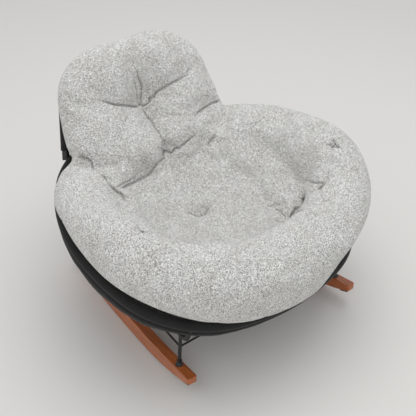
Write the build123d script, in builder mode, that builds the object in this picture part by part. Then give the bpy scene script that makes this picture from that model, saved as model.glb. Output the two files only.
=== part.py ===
from build123d import *
import os
from math import asin, atan, cos, degrees, radians, sin, sqrt

os.makedirs("parts", exist_ok=True)

# Lounge rocking chair. Front is -Y, the sitter's left is +X, the floor is Z = 0.
# All sizes are in millimetres.

# Rockers
rocker_thickness = 30
rocker_mid_depth = 53
rocker_half_length = 358
rocker_flat = 30
rocker_mid_radius = 1500
rocker_mid_angle = 4
rocker_end_radius = 750
rocker_top_radius = 2900
rocker_edge_round = 3
rocker_tip_round = 9
rocker_middle_y = 2
toe_out = 3.1
foot_reach = 290
front_foot_x = 301

# Legs, foot cups, bolts, stretchers and stop pads
leg_radius = 5
leg_lean_in = 18
leg_lean_along = 13
leg_lean_height = 120
front_leg_top = 168
rear_leg_top = 278
stretcher_radius = 3
stretcher_height = 125
cup_base_radius = 11
cup_neck_radius = 7
cup_flange = 3
cup_taper_top = 9
cup_height = 18
cup_floor = 4
cup_sink = 2.5
cup_play = 0.4
bolt_radius = 3
bolt_hole_radius = 3.2
bolt_head_radius = 5.5
bolt_head_height = 4
bolt_seat = 24
bolt_reach = 16
recess_reach = 40
pad_thickness = 4
pad_length = 26
pad_inset = 8
pad_narrower = 6

# Seat hoop: a bent tube on a plane that rises to the rear
seat_rise = 0.25
hoop_y = -3
hoop_z = 318
hoop_half = 414
hoop_front_diagonal = 443
hoop_rear_diagonal = 420
hoop_corner_radius = 300
hoop_tube_radius = 12.5
hoop_bore_radius = 11
sleeve_half_angle = 4
sleeve_play = 0.1

# Seat rails: rods from the hoop's front to its rear, under the bowl
rail_radius = 7
rail_bend = 28
rail_front_end = (-60, 236)
rail_front_low = (-28, 165)
rail_middle_low = (150, 158)
rail_rear_rise = (400, 205)
rail_rear_low = (622, 322)
rail_rear_back = (642, 374)
rail_rear_end = (615, 403)

# Fabric cover of the seat bowl: half width at each depth below the hoop's plane
cover_radius = 15
cover_thickness = 4
bowl_sections = ((8, 425), (27, 422), (54, 406), (82, 372), (106, 316), (123, 242), (132, 155))
pad_headroom = 100
slot_play = 0.4

# Back arch and its fabric sleeve, in the plane of the reclined back
back_recline = 27
back_y = 342
back_z = 411
arch_radius = 11
arch_bore_radius = 9.5
arch_foot = (261, -12)
arch_top = (196, 205)
arch_bend = 95
sleeve_skin = 3
sleeve_round = 4
sleeve_bottom = 40

# Cushions: clearances, sewn tufts and their thread ties
cushion_gap = 2
oval_end = 0.72
tuft_reach = 36
tuft_rise = 16
ring_tuft_lean = 54
tuft_floor_radius = 3.2
tuft_tool_height = 60
tie_radius = 2.6
tie_height = 2.5

# Rolled rim: angle from the front, path radius, height above the hoop's plane,
# half width and half height of the section
roll_stations = (
    (0, 346, 97, 92, 104),
    (22, 358, 100, 94, 105),
    (42, 371, 107, 96, 106),
    (57, 380, 115, 90, 108),
    (70, 377, 119, 85, 110),
    (84, 364, 110, 81, 102),
    (99, 359, 85, 76, 86),
    (115, 338, 50, 73, 79),
    (130, 334, 17, 64, 68),
    (141, 328, -2, 45, 49),
)
ring_tufts = ((165, 226, 75), (204, 226, 177), (312, 150, 217))

# Seat pad: top and bottom of its section, radius from the hoop's axis and height;
# the bowl trims its underside
pad_top = ((0, -31), (140, -9), (245, 71), (300, 65), (392, 30))
pad_bottom = ((392, -140), (0, -140))
seat_tuft_depth = 15

# Head cushion: distance up the back, half width, rear face and front face
head_sections = (
    (-104, 176, 70, 150),
    (-84, 232, 38, 170),
    (-40, 266, 22, 168),
    (20, 281, 18, 156),
    (100, 270, 18, 148),
    (180, 250, 18, 143),
    (236, 212, 22, 136),
    (268, 165, 32, 124),
    (286, 104, 52, 106),
)
head_rear = 18
head_tuft_up = 79
head_tuft_floor = 112
head_tuft_reach = 112
head_tuft_rise = 40
fold_tuft_up = -73
fold_tuft_floor = 138


# Frames that the pieces are placed in

seat_tilt = atan(seat_rise)
seat_plane = Plane(
    origin=(0, hoop_y, hoop_z), x_dir=(1, 0, 0), z_dir=(0, -sin(seat_tilt), cos(seat_tilt))
)
bowl_section = Plane(origin=seat_plane.origin, x_dir=(1, 0, 0), z_dir=-seat_plane.y_dir)
bowl_axis = Axis(seat_plane.origin, seat_plane.z_dir)

recline = radians(back_recline)
back_plane = Plane(origin=(0, back_y, back_z), x_dir=(1, 0, 0), z_dir=(0, -cos(recline), sin(recline)))

sides = (("left", 1), ("right", -1))
ends = (("front", -1), ("rear", 1))


def finish(block, name):
    block.part.label = name
    export_step(block.part, f"parts/{name}.step")


def rod(start, stop, radius):
    axis = Plane(origin=start, z_dir=stop - start)
    with Locations(axis.location):
        Cylinder(radius, (stop - start).length, align=(Align.CENTER, Align.CENTER, Align.MIN))


# Hoop outline: flat side arcs and corner arcs, all tangent, fuller at the front corners

def quarter_shape(diagonal):
    shift = (diagonal - hoop_corner_radius) / sqrt(2)
    gap = hoop_half - hoop_corner_radius
    bow = (2 * shift**2 - gap**2) / (2 * (gap - shift))
    return shift * sqrt(2), bow, degrees(atan(shift / (shift + bow)))


def hoop_arcs(first, last, scale=1.0):
    for turn in range(-90, 360, 90):
        diagonal = hoop_rear_diagonal if 0 <= turn < 180 else hoop_front_diagonal
        corner_reach, bow, bend = quarter_shape(diagonal)
        arcs = (
            (turn, turn + bend, hoop_half + bow, -bow, turn),
            (turn + bend, turn + 90 - bend, hoop_corner_radius, corner_reach, turn + 45),
            (turn + 90 - bend, turn + 90, hoop_half + bow, -bow, turn + 90),
        )
        for start, stop, radius, reach, heading in arcs:
            begin = max(start, first)
            end = min(stop, last)
            if end - begin > 0.01:
                centre = Vector(scale * reach, 0).rotate(Axis.Z, heading)
                CenterArc(centre, scale * radius, begin, end - begin)


def hoop_face(half):
    with BuildLine() as outline:
        hoop_arcs(0, 360, half / hoop_half)
    make_face(outline.edges())


# Four-arc oval: tight arcs at the ends of the long axis, flatter arcs between

def oval_face(half_x, half_y):
    long_half = max(half_x, half_y)
    short_half = min(half_x, half_y)
    end_radius = oval_end * short_half
    end_shift = long_half - end_radius
    flat_radius = (short_half**2 + end_shift**2 - end_radius**2) / (2 * (short_half - end_radius))
    flat_shift = flat_radius - short_half
    half_span = degrees(atan(end_shift / flat_shift))
    turn = 0 if half_x > half_y else 90
    with BuildLine() as outline:
        for heading in (turn, turn + 180):
            flat_centre = Vector(0, -flat_shift).rotate(Axis.Z, heading)
            end_centre = Vector(-end_shift, 0).rotate(Axis.Z, heading)
            CenterArc(flat_centre, flat_radius, heading + 90 - half_span, 2 * half_span)
            CenterArc(end_centre, end_radius, heading + 90 + half_span, 180 - 2 * half_span)
    make_face(outline.edges())


# Rocker line: a short flat at the middle, then two tangent arcs to each tip

mid_turn = radians(rocker_mid_angle)
end_centre_reach = rocker_flat + (rocker_mid_radius - rocker_end_radius) * sin(mid_turn)
end_centre_height = rocker_mid_radius - (rocker_mid_radius - rocker_end_radius) * cos(mid_turn)


def end_angle(reach):
    return degrees(asin((reach - end_centre_reach) / rocker_end_radius))


def top_height(reach):
    return rocker_mid_depth + rocker_top_radius - sqrt(rocker_top_radius**2 - reach**2)


def rocker_plane(side):
    lean = radians(toe_out)
    along = Vector(-side * sin(lean), cos(lean), 0)
    across = Vector(cos(lean), side * sin(lean), 0)
    front_foot = Vector(side * front_foot_x, rocker_middle_y - foot_reach * cos(lean), 0)
    return Plane(origin=front_foot + along * foot_reach, x_dir=along, z_dir=across)


def leg_axis(side, end):
    foot_local = Vector(end * foot_reach, top_height(foot_reach) - cup_sink, 0)
    foot = rocker_plane(side).from_local_coords(foot_local)
    lean = Vector(-side * leg_lean_in, -end * leg_lean_along, leg_lean_height)
    return foot, lean.normalized()


def leg_point(side, end, height):
    foot, lean = leg_axis(side, end)
    return foot + lean * ((height - foot.Z) / lean.Z)


def at_foot(side, end, drop=0):
    foot, lean = leg_axis(side, end)
    return Plane(origin=foot - lean * drop, z_dir=lean).location


tip_angle = end_angle(rocker_half_length)
above = (Align.CENTER, Align.CENTER, Align.MIN)
below = (Align.CENTER, Align.CENTER, Align.MAX)

for side_name, side in sides:
    with BuildPart() as rocker:
        with BuildSketch(rocker_plane(side)):
            with BuildLine():
                Line((-rocker_flat, 0), (rocker_flat, 0))
                for way in (-1, 1):
                    mid_start = -90 if way > 0 else -90 - rocker_mid_angle
                    mid_centre = (way * rocker_flat, rocker_mid_radius)
                    CenterArc(mid_centre, rocker_mid_radius, mid_start, rocker_mid_angle)
                    end_start = -90 + rocker_mid_angle if way > 0 else -90 - tip_angle
                    end_arc = CenterArc(
                        (way * end_centre_reach, end_centre_height),
                        rocker_end_radius,
                        end_start,
                        tip_angle - rocker_mid_angle,
                    )
                    tip_low = end_arc @ (1 if way > 0 else 0)
                    Line(tip_low, (way * rocker_half_length, top_height(rocker_half_length)))
                ThreePointArc(
                    (-rocker_half_length, top_height(rocker_half_length)),
                    (0, rocker_mid_depth),
                    (rocker_half_length, top_height(rocker_half_length)),
                )
            make_face()
        extrude(amount=rocker_thickness / 2, both=True)
        fillet(rocker.edges().filter_by(Axis.Z), rocker_tip_round)
        long_edges = rocker.edges().filter_by(lambda edge: edge.length > rocker_thickness)
        fillet(long_edges, rocker_edge_round)
        for end_name, end in ends:
            with Locations(at_foot(side, end)):
                Cylinder(cup_base_radius + cup_play, recess_reach, align=above, mode=Mode.SUBTRACT)
                Cylinder(bolt_hole_radius, recess_reach, align=below, mode=Mode.SUBTRACT)
            with Locations(at_foot(side, end, bolt_seat)):
                Cylinder(bolt_head_radius + cup_play, recess_reach, align=below, mode=Mode.SUBTRACT)
    finish(rocker, f"rocker_{side_name}")

    for end_name, end in ends:
        with BuildPart() as stop_pad:
            with BuildSketch(rocker_plane(side)):
                with BuildLine():
                    centre = (end * end_centre_reach, end_centre_height)
                    pad_outer = end_angle(rocker_half_length - pad_inset)
                    pad_inner = end_angle(rocker_half_length - pad_inset - pad_length)
                    start = -90 + pad_inner if end > 0 else -90 - pad_outer
                    upper = CenterArc(centre, rocker_end_radius, start, pad_outer - pad_inner)
                    lower = CenterArc(centre, rocker_end_radius + pad_thickness, start, pad_outer - pad_inner)
                    Line(upper @ 0, lower @ 0)
                    Line(upper @ 1, lower @ 1)
                make_face()
            extrude(amount=(rocker_thickness - pad_narrower) / 2, both=True)
        finish(stop_pad, f"stop_pad_{end_name}_{side_name}")


# Seat hoop: two half hoops of tube, joined at the sides by inner sleeves

def round_sweep(route, outer, inner=None, mode=Mode.ADD):
    with BuildSketch(Plane(origin=route @ 0, z_dir=route % 0)) as profile:
        Circle(outer)
        if inner:
            Circle(inner, mode=Mode.SUBTRACT)
    sweep(sections=profile.sketch, path=route, mode=mode)


def hoop_route(first, last):
    with BuildLine() as path:
        hoop_arcs(first, last)
    return path.wires()[0].moved(seat_plane.location)


rear_route = hoop_route(0, 180)
front_route = hoop_route(180, 360)

with BuildPart() as hoop_space:
    round_sweep(rear_route, hoop_tube_radius)
    round_sweep(front_route, hoop_tube_radius)

for half_name, half_route in (("rear", rear_route), ("front", front_route)):
    with BuildPart() as half_hoop:
        round_sweep(half_route, hoop_tube_radius, hoop_bore_radius)
    finish(half_hoop, f"hoop_{half_name}")

for side_name, turn in (("left", 0), ("right", 180)):
    sleeve_route = hoop_route(turn - sleeve_half_angle, turn + sleeve_half_angle)
    with BuildPart() as hoop_sleeve:
        round_sweep(sleeve_route, hoop_bore_radius - sleeve_play)
    finish(hoop_sleeve, f"hoop_sleeve_{side_name}")


# Seat rails, legs, foot cups and stretchers

def rail_plane(side):
    front = leg_point(side, -1, front_leg_top)
    rear = leg_point(side, 1, rear_leg_top)
    along = Vector(rear.X - front.X, rear.Y - front.Y, 0).normalized()
    return Plane(origin=(front.X, front.Y, 0), x_dir=along, z_dir=along.cross(Vector(0, 0, 1)))


def rail_route(side):
    front = leg_point(side, -1, front_leg_top)
    rear = leg_point(side, 1, rear_leg_top)
    run = Vector(rear.X - front.X, rear.Y - front.Y, 0).length
    corners = (
        rail_front_end,
        rail_front_low,
        rail_middle_low,
        rail_rear_rise,
        (run, rear_leg_top),
        rail_rear_low,
        rail_rear_back,
        rail_rear_end,
    )
    with BuildLine(rail_plane(side)) as path:
        FilletPolyline(*corners, radius=rail_bend)
    return path.wires()[0]


rails = {}
for side_name, side in sides:
    route = rail_route(side)
    with BuildPart() as rail:
        round_sweep(route, rail_radius)
        add(hoop_space.part, mode=Mode.SUBTRACT)
    finish(rail, f"seat_rail_{side_name}")
    rails[side] = rail.part

legs = {}
for side_name, side in sides:
    for end_name, end in ends:
        foot, lean = leg_axis(side, end)
        top = leg_point(side, end, front_leg_top if end < 0 else rear_leg_top)
        with BuildPart() as leg:
            rod(foot + lean * cup_floor, top, leg_radius)
            add(rails[side], mode=Mode.SUBTRACT)
            with Locations(at_foot(side, end)):
                Cylinder(bolt_hole_radius, bolt_reach, align=above, mode=Mode.SUBTRACT)
        finish(leg, f"leg_{end_name}_{side_name}")
        legs[side, end] = leg.part

        with BuildPart() as foot_cup:
            with BuildSketch(Plane.XZ):
                with BuildLine():
                    Polyline(
                        (bolt_hole_radius, 0),
                        (cup_base_radius, 0),
                        (cup_base_radius, cup_flange),
                        (cup_neck_radius, cup_taper_top),
                        (cup_neck_radius, cup_height),
                        (leg_radius, cup_height),
                        (leg_radius, cup_floor),
                        (bolt_hole_radius, cup_floor),
                        close=True,
                    )
                make_face()
            revolve(axis=Axis.Z)
        foot_cup.part.locate(at_foot(side, end))
        finish(foot_cup, f"foot_cup_{end_name}_{side_name}")

with BuildPart() as rocker_bolts:
    for side_name, side in sides:
        for end_name, end in ends:
            with Locations(at_foot(side, end, bolt_seat)):
                Cylinder(bolt_head_radius, bolt_head_height, align=below)
                Cylinder(bolt_radius, bolt_seat + bolt_reach - 2, align=above)
finish(rocker_bolts, "rocker_bolts")

stretchers = (
    ("stretcher_left", (1, -1), (1, 1)),
    ("stretcher_right", (-1, -1), (-1, 1)),
    ("stretcher_front", (1, -1), (-1, -1)),
    ("stretcher_rear", (1, 1), (-1, 1)),
)
for name, first, second in stretchers:
    with BuildPart() as stretcher:
        rod(leg_point(*first, stretcher_height), leg_point(*second, stretcher_height), stretcher_radius)
        add(legs[first], mode=Mode.SUBTRACT)
        add(legs[second], mode=Mode.SUBTRACT)
    finish(stretcher, name)


# Back arch: a bent tube that stands on the rear half of the hoop

foot_x, foot_up = arch_foot
top_x, top_up = arch_top
with BuildLine(back_plane) as arch_path:
    FilletPolyline((-foot_x, foot_up), (-top_x, top_up), (top_x, top_up), (foot_x, foot_up), radius=arch_bend)
arch_route = arch_path.wires()[0]

with BuildPart() as back_arch:
    round_sweep(arch_route, arch_radius, arch_bore_radius)
    add(hoop_space.part, mode=Mode.SUBTRACT)
finish(back_arch, "back_arch")


# Fabric sleeve pulled over the arch, open along its lower edge

def arch_face(grow, bottom):
    slope = (foot_x - top_x) / (top_up - foot_up)
    side_x = top_x + grow * sqrt(1 + slope**2)
    high_x = side_x - slope * grow
    low_x = side_x + slope * (top_up - bottom)
    high = top_up + grow
    with BuildLine() as outline:
        edge = FilletPolyline(
            (-low_x, bottom), (-high_x, high), (high_x, high), (low_x, bottom), radius=arch_bend + grow
        )
        Line(edge @ 1, edge @ 0)
    make_face(outline.edges())


with BuildPart() as back_sleeve:
    with BuildSketch(back_plane):
        arch_face(arch_radius + sleeve_skin, sleeve_bottom)
    extrude(amount=arch_radius + sleeve_skin, both=True)
    fillet(back_sleeve.edges().filter_by(lambda edge: edge.length > arch_top[0]), sleeve_round)
    with BuildSketch(back_plane):
        arch_face(arch_radius + slot_play, sleeve_bottom - 1)
    extrude(amount=arch_radius + slot_play, both=True, mode=Mode.SUBTRACT)
finish(back_sleeve, "back_sleeve")


# Seat cover: a fabric bowl sewn round the hoop

def bowl_loft(shrink):
    sections = []
    for depth, half in bowl_sections:
        with BuildSketch(seat_plane.offset(shrink - depth)) as section:
            hoop_face(half - shrink)
        sections.append(section.sketch.face())
    loft(sections)
    return sections[0]


with BuildPart() as bowl_space:
    bowl_loft(cover_thickness)

with BuildPart() as pad_space:
    mouth = bowl_loft(cover_thickness + cushion_gap)
    extrude(mouth, pad_headroom)

with BuildPart() as seat_cover:
    bowl_loft(0)
    add(bowl_space.part, mode=Mode.SUBTRACT)
    round_sweep(rear_route, cover_radius)
    round_sweep(front_route, cover_radius)
    add(hoop_space.part, mode=Mode.SUBTRACT)
    for side_name, side in sides:
        round_sweep(rail_route(side), rail_radius + slot_play, mode=Mode.SUBTRACT)
    round_sweep(arch_route, arch_radius + slot_play, mode=Mode.SUBTRACT)
finish(seat_cover, "seat_cover")


# Cushion shapes: ovals lofted along the rolled rim and up the reclined head

def roll_plane(angle, radius, height):
    turn = radians(angle)
    outward = seat_plane.x_dir * sin(turn) - seat_plane.y_dir * cos(turn)
    centre = seat_plane.origin + outward * radius + seat_plane.z_dir * height
    return Plane(origin=centre, x_dir=outward, z_dir=outward.cross(seat_plane.z_dir))


def head_plane(up, rear, front):
    centre = back_plane.from_local_coords(Vector(0, up, (rear + front) / 2))
    return Plane(origin=centre, x_dir=(1, 0, 0), z_dir=back_plane.y_dir)


both_ways = [(-station[0], *station[1:]) for station in reversed(roll_stations[1:])]
both_ways.extend(roll_stations)

with BuildPart() as roll_shape:
    for angle, radius, height, half_width, half_height in both_ways:
        with BuildSketch(roll_plane(angle, radius, height)):
            oval_face(half_width, half_height)
    loft()

with BuildPart() as head_shape:
    for up, half_width, rear, front in head_sections:
        with BuildSketch(head_plane(up, rear, front)):
            oval_face(half_width, (front - rear) / 2)
    loft()


# Sewn tufts: a funnel with a small flat floor where the thread tie sits

def tuft_tool(reach, rise):
    with BuildPart() as tool:
        with BuildSketch(Plane.XZ):
            with BuildLine():
                ThreePointArc((tuft_floor_radius, 0), (0.5 * reach, 0.3 * rise), (reach, rise))
                Polyline((reach, rise), (reach, tuft_tool_height), (0, tuft_tool_height))
                Polyline((0, tuft_tool_height), (0, 0), (tuft_floor_radius, 0))
            make_face()
        revolve(axis=Axis.Z)
    return tool.part


def ring_tuft_place(side, across, forward, height):
    foot = seat_plane.from_local_coords(Vector(side * across, -forward, height))
    inward = seat_plane.y_dir * forward - seat_plane.x_dir * side * across
    lean = radians(ring_tuft_lean)
    return Plane(origin=foot, z_dir=inward.normalized() * sin(lean) + seat_plane.z_dir * cos(lean))


ring_places = [ring_tuft_place(side, *tuft) for side_name, side in sides for tuft in ring_tufts]
seat_place = seat_plane.offset(pad_top[0][1] - seat_tuft_depth)
head_place = Plane(
    origin=back_plane.from_local_coords(Vector(0, head_tuft_up, head_tuft_floor)), z_dir=back_plane.z_dir
)
fold_place = Plane(
    origin=back_plane.from_local_coords(Vector(0, fold_tuft_up, fold_tuft_floor)), z_dir=back_plane.z_dir
)
small_tuft = tuft_tool(tuft_reach, tuft_rise)
large_tuft = tuft_tool(head_tuft_reach, head_tuft_rise)

with BuildPart() as rim_roll:
    add(roll_shape.part)
    add(head_shape.part, mode=Mode.SUBTRACT)
    for place in ring_places:
        add(small_tuft.moved(place.location), mode=Mode.SUBTRACT)
finish(rim_roll, "rim_roll")

with BuildPart() as seat_pad:
    with BuildSketch(bowl_section):
        with BuildLine():
            ThreePointArc(*pad_top[0:3])
            ThreePointArc(*pad_top[2:5])
            Polyline(pad_top[4], *pad_bottom, pad_top[0])
        make_face()
    revolve(axis=bowl_axis)
    add(pad_space.part, mode=Mode.INTERSECT)
    add(roll_shape.part, mode=Mode.SUBTRACT)
    add(head_shape.part, mode=Mode.SUBTRACT)
    split(bisect_by=back_plane.offset(head_rear), keep=Keep.TOP)
    add(small_tuft.moved(seat_place.location), mode=Mode.SUBTRACT)
finish(seat_pad, "seat_pad")

with BuildPart() as head_cushion:
    add(head_shape.part)
    add(large_tuft.moved(head_place.location), mode=Mode.SUBTRACT)
    add(small_tuft.moved(fold_place.location), mode=Mode.SUBTRACT)
finish(head_cushion, "head_cushion")

with BuildPart() as tuft_ties:
    for place in (*ring_places, seat_place, head_place, fold_place):
        with Locations(place.location):
            Cylinder(tie_radius, tie_height, align=above)
finish(tuft_ties, "tuft_ties")
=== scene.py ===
import math
import bpy
import numpy as np
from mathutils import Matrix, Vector
from mathutils.bvhtree import BVHTree


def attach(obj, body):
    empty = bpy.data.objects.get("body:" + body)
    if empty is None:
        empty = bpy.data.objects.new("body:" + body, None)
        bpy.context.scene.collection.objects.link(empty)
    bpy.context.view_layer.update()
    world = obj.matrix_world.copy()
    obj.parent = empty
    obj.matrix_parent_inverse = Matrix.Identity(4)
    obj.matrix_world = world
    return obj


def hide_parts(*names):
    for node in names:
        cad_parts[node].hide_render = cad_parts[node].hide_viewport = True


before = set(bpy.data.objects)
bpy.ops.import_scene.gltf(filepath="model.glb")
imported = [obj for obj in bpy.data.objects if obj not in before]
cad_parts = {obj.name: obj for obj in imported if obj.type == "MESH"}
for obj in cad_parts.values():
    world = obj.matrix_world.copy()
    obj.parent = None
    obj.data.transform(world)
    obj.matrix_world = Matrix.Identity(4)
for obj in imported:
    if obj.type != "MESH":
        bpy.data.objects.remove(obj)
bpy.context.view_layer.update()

print("frame loaded", len(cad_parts), "nodes")


# small helpers

def toLinear(hexColour):  # sRGB hex to linear
    values = [int(hexColour[i:i + 2], 16) / 255 for i in (1, 3, 5)]
    linear = [v / 12.92 if v <= 0.04045 else ((v + 0.055) / 1.055) ** 2.4 for v in values]
    return (*linear, 1.0)


def addNode(material, kind, settings=None, inputs=None, links=None):
    node = material.node_tree.nodes.new(kind)
    for key, value in (settings or {}).items():
        setattr(node, key, value)
    for key, value in (inputs or {}).items():
        node.inputs[key].default_value = value
    for key, source in (links or {}).items():
        material.node_tree.links.new(source, node.inputs[key])
    return node


def newMaterial(name):
    material = bpy.data.materials.new(name)
    material.use_nodes = True
    material.node_tree.nodes.clear()
    return material


def setRamp(ramp, stops):
    elements = ramp.color_ramp.elements
    while len(elements) < len(stops):
        elements.new(0.5)
    for element, (place, colour) in zip(elements, stops):
        element.position = place
        element.color = toLinear(colour)


def only(piece):  # select one object and nothing else
    bpy.ops.object.select_all(action="DESELECT")
    piece.select_set(True)
    bpy.context.view_layer.objects.active = piece


def applyModifier(piece, kind, **settings):
    only(piece)
    modifier = piece.modifiers.new(kind.title(), kind)
    for key, value in settings.items():
        setattr(modifier, key, value)
    bpy.ops.object.modifier_apply(modifier=modifier.name)


def readPoints(piece):
    points = np.zeros(len(piece.data.vertices) * 3, np.float32)
    piece.data.vertices.foreach_get("co", points)
    return points.reshape(-1, 3).astype(float)


def readNormals(piece):
    normals = np.zeros(len(piece.data.vertices) * 3, np.float32)
    piece.data.vertices.foreach_get("normal", normals)
    return normals.reshape(-1, 3).astype(float)


def writePoints(piece, points):
    piece.data.vertices.foreach_set("co", points.astype(np.float32).ravel())
    piece.data.update()


def meshPiece(name, points, faces):  # new cloth from points and faces, doubles merged, faces outward
    mesh = bpy.data.meshes.new(name)
    mesh.from_pydata(points, [], faces)
    piece = bpy.data.objects.new(name, mesh)
    bpy.context.scene.collection.objects.link(piece)
    only(piece)
    bpy.ops.object.mode_set(mode="EDIT")
    bpy.ops.mesh.select_all(action="SELECT")
    bpy.ops.mesh.remove_doubles(threshold=0.00005)  # 0.05 mm
    bpy.ops.mesh.normals_make_consistent(inside=False)
    bpy.ops.object.mode_set(mode="OBJECT")
    return piece


# seat and back planes, in metres, as in the CAD
seat = {"origin": np.array((0, -0.003, 0.318)), "rise": 0.25}
seatTilt = math.atan(seat["rise"])
seatRear = np.array((0, math.cos(seatTilt), math.sin(seatTilt)))
seatUp = np.array((0, -math.sin(seatTilt), math.cos(seatTilt)))
back = {"origin": np.array((0, 0.342, 0.411)), "recline": math.radians(27)}
backRise = np.array((0, math.sin(back["recline"]), math.cos(back["recline"])))
backFront = np.array((0, -math.cos(back["recline"]), math.sin(back["recline"])))
acrossSeat = np.array((1, 0, 0))


# hoop outline: flat side arcs and corner arcs, as in the CAD

hoopPlan = {"half": 0.414, "corner": 0.300, "frontDiagonal": 0.443, "rearDiagonal": 0.420}


def hoopReach(heading):  # from the axis to the hoop's centre line, heading from the sitter's left
    half = hoopPlan["half"]
    corner = hoopPlan["corner"]
    diagonal = hoopPlan["rearDiagonal"] if math.sin(heading) > 0 else hoopPlan["frontDiagonal"]
    shift = (diagonal - corner) / math.sqrt(2)
    gap = half - corner
    bow = (2 * shift**2 - gap**2) / (2 * (gap - shift))
    bend = math.atan(shift / (shift + bow))
    turn = abs(heading) % (math.pi / 2)
    turn = min(turn, math.pi / 2 - turn)
    split = math.atan2(shift + corner * math.sin(bend), shift + corner * math.cos(bend))
    if turn < split:  # flat side arc, its centre beyond the axis
        along = -bow * math.cos(turn)
        across = bow * math.sin(turn)
        radius = half + bow
    else:             # corner arc
        along = shift * (math.cos(turn) + math.sin(turn))
        across = shift * (math.cos(turn) - math.sin(turn))
        radius = corner
    return along + math.sqrt(radius**2 - across**2)


# heathered wool tweed: knobbly pale yarn with dark flecks, matt and a little fuzzy
tweed = newMaterial("heathered wool tweed")
tweedCoords = addNode(tweed, "ShaderNodeTexCoord")
tweedYarn = addNode(tweed, "ShaderNodeTexVoronoi", {}, {"Scale": 1000 / 1.4},  # yarn knots, 1.4 mm
                    {"Vector": tweedCoords.outputs["Object"]})
tweedKnot = addNode(tweed, "ShaderNodeSeparateColor", {}, {}, {"Color": tweedYarn.outputs["Color"]})
tweedFlecks = addNode(tweed, "ShaderNodeValToRGB", {}, {}, {"Fac": tweedKnot.outputs["Red"]})
setRamp(tweedFlecks, [(0.0, "#4c4c4a"), (0.16, "#8a8986"), (0.4, "#c1c0bc"), (0.7, "#e2e1dd"),
                      (1.0, "#ffffff")])
tweedCloud = addNode(tweed, "ShaderNodeTexNoise", {}, {"Scale": 1000 / 60, "Detail": 3.0},
                     {"Vector": tweedCoords.outputs["Object"]})
tweedTone = addNode(tweed, "ShaderNodeValToRGB", {}, {}, {"Fac": tweedCloud.outputs["Fac"]})
setRamp(tweedTone, [(0.3, "#f2f1ee"), (0.7, "#ffffff")])
tweedColour = addNode(tweed, "ShaderNodeMix", {"data_type": "RGBA", "blend_type": "MULTIPLY"}, {0: 1.0},
                      {6: tweedFlecks.outputs["Color"], 7: tweedTone.outputs["Color"]})
tweedBump = addNode(tweed, "ShaderNodeBump", {"invert": True}, {"Strength": 0.55, "Distance": 0.0012},
                    {"Height": tweedYarn.outputs["Distance"]})
tweedShader = addNode(tweed, "ShaderNodeBsdfPrincipled", {},
                      {"Roughness": 0.95, "Sheen Weight": 0.25, "Sheen Roughness": 0.6,
                       "Specular IOR Level": 0.2},
                      {"Base Color": tweedColour.outputs[2], "Normal": tweedBump.outputs["Normal"]})
addNode(tweed, "ShaderNodeOutputMaterial", {}, {}, {"Surface": tweedShader.outputs["BSDF"]})

# black polyester canvas: uneven plain weave, nearly matt, greyer where it catches the light
# the threads are drawn 2.4 mm wide, coarser than real ones, so that they show
canvas = newMaterial("black polyester canvas")
canvasCoords = addNode(canvas, "ShaderNodeTexCoord")
canvasWarpRun = addNode(canvas, "ShaderNodeMapping", {}, {"Scale": (1000 / 2.4, 1000 / 30, 1)},
                        {"Vector": canvasCoords.outputs["UV"]})
canvasWarp = addNode(canvas, "ShaderNodeTexNoise", {}, {"Scale": 1.0, "Detail": 2.0},
                     {"Vector": canvasWarpRun.outputs["Vector"]})
canvasWeftRun = addNode(canvas, "ShaderNodeMapping", {}, {"Scale": (1000 / 30, 1000 / 2.4, 1)},
                        {"Vector": canvasCoords.outputs["UV"]})
canvasWeft = addNode(canvas, "ShaderNodeTexNoise", {}, {"Scale": 1.0, "Detail": 2.0},
                     {"Vector": canvasWeftRun.outputs["Vector"]})
canvasWeave = addNode(canvas, "ShaderNodeMath", {"operation": "MULTIPLY"}, {},
                      {0: canvasWarp.outputs["Fac"], 1: canvasWeft.outputs["Fac"]})
canvasDust = addNode(canvas, "ShaderNodeTexNoise", {}, {"Scale": 1000 / 35, "Detail": 4.0},
                     {"Vector": canvasCoords.outputs["Object"]})
canvasBlend = addNode(canvas, "ShaderNodeMath", {"operation": "MULTIPLY"}, {},
                      {0: canvasWeave.outputs[0], 1: canvasDust.outputs["Fac"]})
canvasTone = addNode(canvas, "ShaderNodeValToRGB", {}, {}, {"Fac": canvasBlend.outputs[0]})
setRamp(canvasTone, [(0.05, "#141414"), (0.25, "#242423")])
canvasBump = addNode(canvas, "ShaderNodeBump", {}, {"Strength": 0.3, "Distance": 0.0006},
                     {"Height": canvasWeave.outputs[0]})
canvasShader = addNode(canvas, "ShaderNodeBsdfPrincipled", {},
                       {"Roughness": 0.8, "Sheen Weight": 0.08, "Sheen Roughness": 0.5,
                        "Specular IOR Level": 0.3},
                       {"Base Color": canvasTone.outputs["Color"], "Normal": canvasBump.outputs["Normal"]})
addNode(canvas, "ShaderNodeOutputMaterial", {}, {}, {"Surface": canvasShader.outputs["BSDF"]})

# lacquered beech, stained red-brown: long streaks of grain under a satin clear coat
beech = newMaterial("lacquered beech")
beechCoords = addNode(beech, "ShaderNodeTexCoord")
beechRun = addNode(beech, "ShaderNodeMapping", {}, {"Scale": (1000 / 5, 1000 / 140, 1000 / 5)},
                   {"Vector": beechCoords.outputs["Object"]})  # streaks 5 mm wide
beechGrain = addNode(beech, "ShaderNodeTexNoise", {}, {"Scale": 1.0, "Detail": 6.0, "Distortion": 0.6},
                     {"Vector": beechRun.outputs["Vector"]})
beechTone = addNode(beech, "ShaderNodeValToRGB", {}, {}, {"Fac": beechGrain.outputs["Fac"]})
setRamp(beechTone, [(0.3, "#8a4217"), (0.5, "#a85a28"), (0.7, "#b86a38")])
beechFleck = addNode(beech, "ShaderNodeMapping", {}, {"Scale": (1000 / 1.2, 1000 / 9, 1000 / 1.2)},
                     {"Vector": beechCoords.outputs["Object"]})  # pores
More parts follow.
